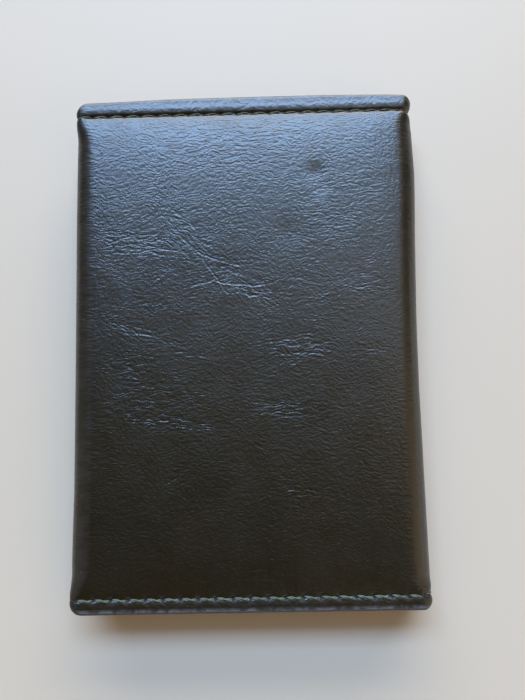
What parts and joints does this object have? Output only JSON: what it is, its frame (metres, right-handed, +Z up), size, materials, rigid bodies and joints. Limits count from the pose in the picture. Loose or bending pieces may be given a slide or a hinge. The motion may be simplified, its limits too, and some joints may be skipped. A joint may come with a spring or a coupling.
{
  "type": "passport holder wallet",
  "caption": "Closed bifold passport holder of padded leather with turned, stitched top and bottom hems; it opens at the spine onto a passport sleeve and stacked card slots.",
  "frame": {"origin": "centre of the closed wallet's footprint, on the surface it lies on", "axes": "+X towards the spine, +Y towards the top hem, +Z up out of the back cover; the front cover lies on the surface"},
  "size_m": [0.1, 0.1466, 0.0151],
  "materials": {
    "outer_leather": "glossy crinkled dark brown leather",
    "inner_leather": "satin dark brown leather",
    "lining": "fine woven dark lining",
    "padding": "thin felted foam",
    "thread": "waxed dark olive thread"
  },
  "bodies": {
    "front_cover": {"front_cover_leather": "outer_leather", "front_padding": "padding", "front_lining": "lining", "document_sleeve": "inner_leather", "card_slot_1": "inner_leather", "card_slot_2": "inner_leather", "card_slot_3": "inner_leather", "card_slot_4": "inner_leather", "card_slot_thread": "thread", "front_bottom_seam_thread": "thread", "front_top_seam_thread": "thread"},
    "spine": {"spine_leather": "outer_leather", "spine_lining": "lining", "spine_bottom_seam_thread": "thread", "spine_top_seam_thread": "thread"},
    "back_cover": {"back_cover_leather": "outer_leather", "back_padding": "padding", "back_lining": "lining", "passport_sleeve": "inner_leather", "back_bottom_seam_thread": "thread", "back_top_seam_thread": "thread"}
  },
  "joints": [
    {"name": "spine_fold", "type": "hinge", "parent": "front_cover", "child": "spine", "pos_m": [0.048, 0, 0.002], "axis": [0, 1, 0], "range_deg": [0, 90]},
    {"name": "back_cover_fold", "type": "hinge", "parent": "spine", "child": "back_cover", "pos_m": [0.048, 0, 0.0131], "axis": [0, 1, 0], "range_deg": [0, 90]}
  ],
  "couplings": [
    {"joint": "back_cover_fold", "follows": "spine_fold", "ratio": 1}
  ]
}
